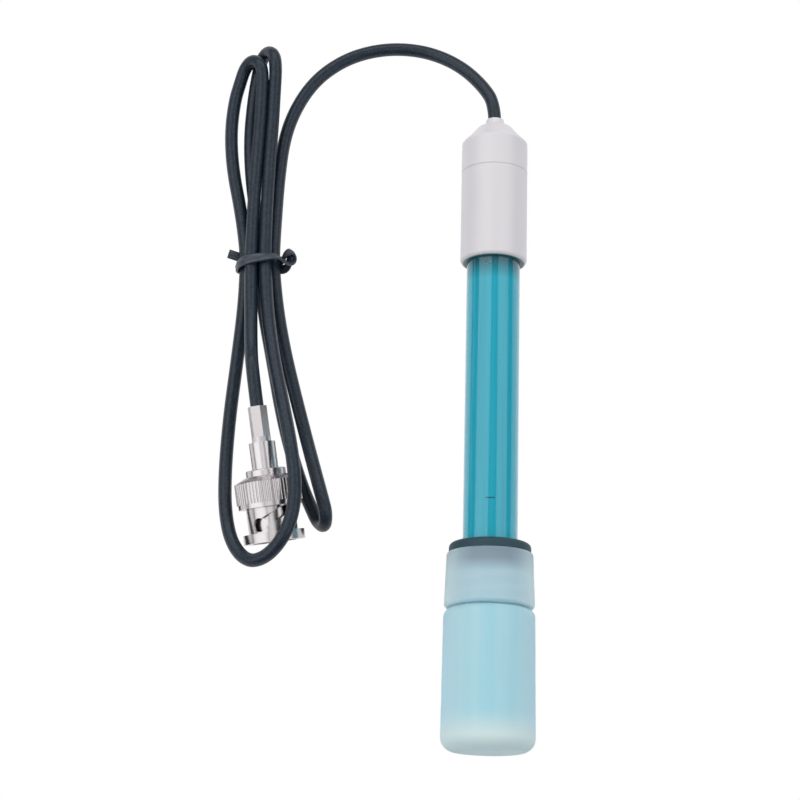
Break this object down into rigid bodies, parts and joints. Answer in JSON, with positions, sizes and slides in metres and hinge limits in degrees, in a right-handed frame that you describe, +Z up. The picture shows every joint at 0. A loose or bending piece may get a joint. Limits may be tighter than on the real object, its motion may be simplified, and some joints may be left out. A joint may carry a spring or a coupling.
{
  "type": "ph electrode",
  "caption": "Slim laboratory pH electrode with a clear tube, a screw-on soaking bottle over its tip, and a thin coaxial lead in a tied hank ending in a bayonet plug.",
  "frame": {"origin": "on the table under the middle of the lying electrode, the lead and plug left out", "axes": "+Y along the electrode toward its cap, +Z up from the table, +X to the right when the cap points away"},
  "size_m": [0.0726, 0.1659, 0.0206],
  "materials": {
    "cap_plastic": "satin off-white moulding",
    "tube_plastic": "clear teal, polished",
    "seal_rubber": "dark matt",
    "frosted_plastic": "frosted, pale blue-grey",
    "stem_glass": "clear",
    "silver": "drawn wire",
    "white_insulator": "matt white",
    "resin": "cast",
    "lead_jacket": "dark grey, soft sheen",
    "tie_plastic": "black, soft sheen",
    "nickel": "bright nickel plate",
    "gold_pin": "plated"
  },
  "bodies": {
    "electrode": {"cap_top": "cap_plastic", "cap_sleeve": "cap_plastic", "electrode_tube": "tube_plastic", "glass_stem": "stem_glass", "inner_reference_wire": "silver", "outer_reference_wire": "silver", "stem_stopper": "seal_rubber", "top_bush": "white_insulator", "junction_ring": "white_insulator", "stem_seal": "seal_rubber", "cable_potting": "resin", "cable": "lead_jacket", "cable_tie": "tie_plastic", "crimp_ferrule": "nickel", "plug_body": "nickel", "plug_insulator": "white_insulator", "centre_pin": "gold_pin", "plug_gasket": "seal_rubber", "spring_washer": "nickel", "retaining_ring": "nickel"},
    "gland": {"seal_grommet": "seal_rubber"},
    "ring": {"bottle_cap": "frosted_plastic"},
    "soaking_bottle": {"bottle": "frosted_plastic"},
    "nut": {"coupling_nut": "nickel"}
  },
  "joints": [
    {"name": "gland_slide", "type": "slide", "parent": "electrode", "child": "gland", "axis": [0, -0.9998, 0.0221], "range_m": [0, 0.06]},
    {"name": "ring_turn", "type": "hinge", "parent": "gland", "child": "ring", "pos_m": [0, -0.03546, 0.00972], "axis": [0, 0.9998, -0.0221], "range_deg": [0, 1080]},
    {"name": "bottle_unscrew", "type": "slide", "parent": "gland", "child": "soaking_bottle", "axis": [0, -0.9998, 0.0221], "range_m": [0, 0.009]},
    {"name": "nut_turn", "type": "hinge", "parent": "electrode", "child": "nut", "pos_m": [-0.04819, -0.0196, 0.00792], "axis": [0.1613, -0.9744, -0.1564], "continuous": true}
  ],
  "couplings": [
    {"joint": "bottle_unscrew", "follows": "ring_turn", "m_per_rad": 0.000477}
  ]
}
